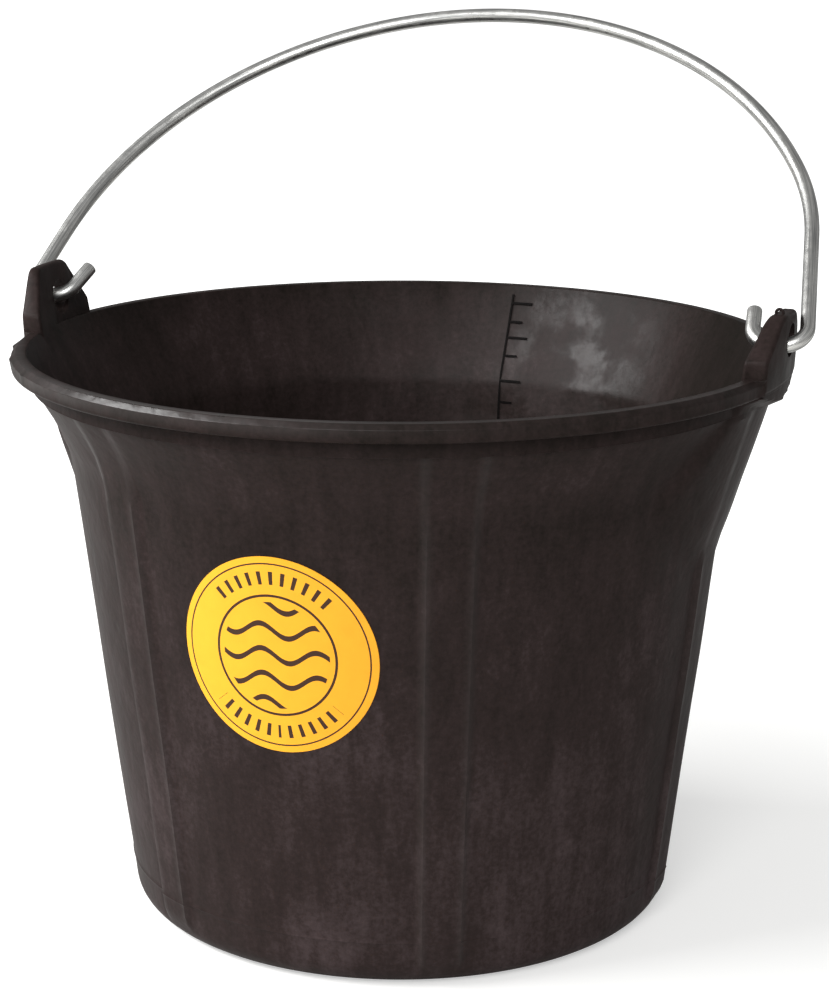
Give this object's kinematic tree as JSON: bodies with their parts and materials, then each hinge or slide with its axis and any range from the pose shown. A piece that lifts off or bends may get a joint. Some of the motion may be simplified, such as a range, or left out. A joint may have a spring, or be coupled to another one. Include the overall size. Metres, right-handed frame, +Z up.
{
  "type": "bucket",
  "caption": "Tapered rubber bucket with a ribbed wall, a flared rim, upright rim lugs and a hooked wire bail that swings down to either side.",
  "frame": {"origin": "on the floor under the middle of the base", "axes": "+Z up, the lugs and the bail's hinge line along X, the label on the -Y side"},
  "size_m": [0.3389, 0.315, 0.3599],
  "materials": {
    "black_rubber": "satin with bloom",
    "plated_steel": "drawn, zinc plated",
    "yellow_label": "satin"
  },
  "bodies": {
    "bucket": {"bucket_moulding": "black_rubber", "round_label": "yellow_label"},
    "bail": {"wire_bail": "plated_steel"}
  },
  "joints": [
    {"name": "bail_swing", "type": "hinge", "parent": "bucket", "child": "bail", "pos_m": [0, 0, 0.2455], "axis": [1, 0, 0], "range_deg": [-80.5, 183.5]}
  ]
}
